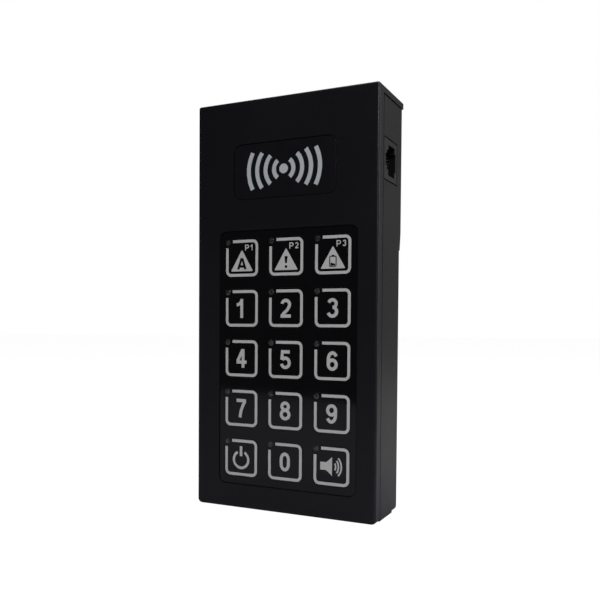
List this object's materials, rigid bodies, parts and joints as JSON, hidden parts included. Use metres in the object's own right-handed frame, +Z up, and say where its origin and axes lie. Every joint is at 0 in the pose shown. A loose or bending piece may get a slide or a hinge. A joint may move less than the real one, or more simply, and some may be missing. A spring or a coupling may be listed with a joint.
{
  "type": "pager",
  "caption": "Upright handheld paging keypad in a two-part plastic shell, with flat film keys in a grid, an indicator by each key, a modular socket in the side and a battery bay behind.",
  "frame": {"origin": "centre of the bounding box's bottom face, where the pager stands on its bottom end", "axes": "+Z up along the case's length, +X to the right as the keys are read, keys facing -Y and battery door facing +Y"},
  "size_m": [0.0668, 0.025, 0.14],
  "materials": {
    "case": "fine satin texture, moulded black",
    "key_film": "gloss black film with pale grey print",
    "badge": "semi-gloss black film with a pale print",
    "dome_film": "translucent film over steel domes",
    "board": "green solder mask",
    "led": "tinted lens, unlit",
    "black_parts": "moulded black",
    "tin": "tin plate",
    "brass": "bright",
    "steel": "plated",
    "jack": "moulded, dark grey",
    "cell_jacket": "plain shrink sleeve"
  },
  "bodies": {
    "case": {"front_cover": "case", "rear_cover": "case", "keypad_overlay": "key_film", "badge_plate": "badge", "dome_sheet": "dome_film", "main_board": "board", "led_p1": "led", "led_p2": "led", "led_p3": "led", "led_1": "led", "led_2": "led", "led_3": "led", "led_4": "led", "led_5": "led", "led_6": "led", "led_7": "led", "led_8": "led", "led_9": "led", "led_power": "led", "led_0": "led", "led_sound": "led", "controller_chip": "black_parts", "buzzer": "black_parts", "radio_module": "tin", "antenna_coil": "brass", "jack_housing": "jack", "jack_contacts": "brass", "battery_cell_1": "cell_jacket", "battery_cell_2": "cell_jacket", "battery_cell_3": "cell_jacket", "battery_spring_1": "steel", "battery_spring_2": "steel", "battery_spring_3": "steel", "contact_strip_top": "tin", "contact_strip_bottom": "tin", "case_screw_1": "steel", "case_screw_2": "steel", "case_screw_3": "steel", "case_screw_4": "steel", "board_screw_1": "steel", "board_screw_2": "steel"},
    "door": {"battery_door": "case"},
    "key_p1": {"key_p1": "key_film"},
    "key_p2": {"key_p2": "key_film"},
    "key_p3": {"key_p3": "key_film"},
    "key_1": {"key_1": "key_film"},
    "key_2": {"key_2": "key_film"},
    "key_3": {"key_3": "key_film"},
    "key_4": {"key_4": "key_film"},
    "key_5": {"key_5": "key_film"},
    "key_6": {"key_6": "key_film"},
    "key_7": {"key_7": "key_film"},
    "key_8": {"key_8": "key_film"},
    "key_9": {"key_9": "key_film"},
    "key_power": {"key_power": "key_film"},
    "key_0": {"key_0": "key_film"},
    "key_sound": {"key_sound": "key_film"}
  },
  "joints": [
    {"name": "door_tilt", "type": "hinge", "parent": "case", "child": "door", "pos_m": [0, 0.0106, 0.0839], "axis": [1, 0, 0], "range_deg": [0, 60]},
    {"name": "press_p1", "type": "slide", "parent": "case", "child": "key_p1", "axis": [0, 1, 0], "range_m": [0, 0.00035], "stiffness_N_per_m": 300, "springref_m": -0.0002},
    {"name": "press_p2", "type": "slide", "parent": "case", "child": "key_p2", "axis": [0, 1, 0], "range_m": [0, 0.00035], "stiffness_N_per_m": 300, "springref_m": -0.0002},
    {"name": "press_p3", "type": "slide", "parent": "case", "child": "key_p3", "axis": [0, 1, 0], "range_m": [0, 0.00035], "stiffness_N_per_m": 300, "springref_m": -0.0002},
    {"name": "press_1", "type": "slide", "parent": "case", "child": "key_1", "axis": [0, 1, 0], "range_m": [0, 0.00035], "stiffness_N_per_m": 300, "springref_m": -0.0002},
    {"name": "press_2", "type": "slide", "parent": "case", "child": "key_2", "axis": [0, 1, 0], "range_m": [0, 0.00035], "stiffness_N_per_m": 300, "springref_m": -0.0002},
    {"name": "press_3", "type": "slide", "parent": "case", "child": "key_3", "axis": [0, 1, 0], "range_m": [0, 0.00035], "stiffness_N_per_m": 300, "springref_m": -0.0002},
    {"name": "press_4", "type": "slide", "parent": "case", "child": "key_4", "axis": [0, 1, 0], "range_m": [0, 0.00035], "stiffness_N_per_m": 300, "springref_m": -0.0002},
    {"name": "press_5", "type": "slide", "parent": "case", "child": "key_5", "axis": [0, 1, 0], "range_m": [0, 0.00035], "stiffness_N_per_m": 300, "springref_m": -0.0002},
    {"name": "press_6", "type": "slide", "parent": "case", "child": "key_6", "axis": [0, 1, 0], "range_m": [0, 0.00035], "stiffness_N_per_m": 300, "springref_m": -0.0002},
    {"name": "press_7", "type": "slide", "parent": "case", "child": "key_7", "axis": [0, 1, 0], "range_m": [0, 0.00035], "stiffness_N_per_m": 300, "springref_m": -0.0002},
    {"name": "press_8", "type": "slide", "parent": "case", "child": "key_8", "axis": [0, 1, 0], "range_m": [0, 0.00035], "stiffness_N_per_m": 300, "springref_m": -0.0002},
    {"name": "press_9", "type": "slide", "parent": "case", "child": "key_9", "axis": [0, 1, 0], "range_m": [0, 0.00035], "stiffness_N_per_m": 300, "springref_m": -0.0002},
    {"name": "press_power", "type": "slide", "parent": "case", "child": "key_power", "axis": [0, 1, 0], "range_m": [0, 0.00035], "stiffness_N_per_m": 300, "springref_m": -0.0002},
    {"name": "press_0", "type": "slide", "parent": "case", "child": "key_0", "axis": [0, 1, 0], "range_m": [0, 0.00035], "stiffness_N_per_m": 300, "springref_m": -0.0002},
    {"name": "press_sound", "type": "slide", "parent": "case", "child": "key_sound", "axis": [0, 1, 0], "range_m": [0, 0.00035], "stiffness_N_per_m": 300, "springref_m": -0.0002}
  ]
}
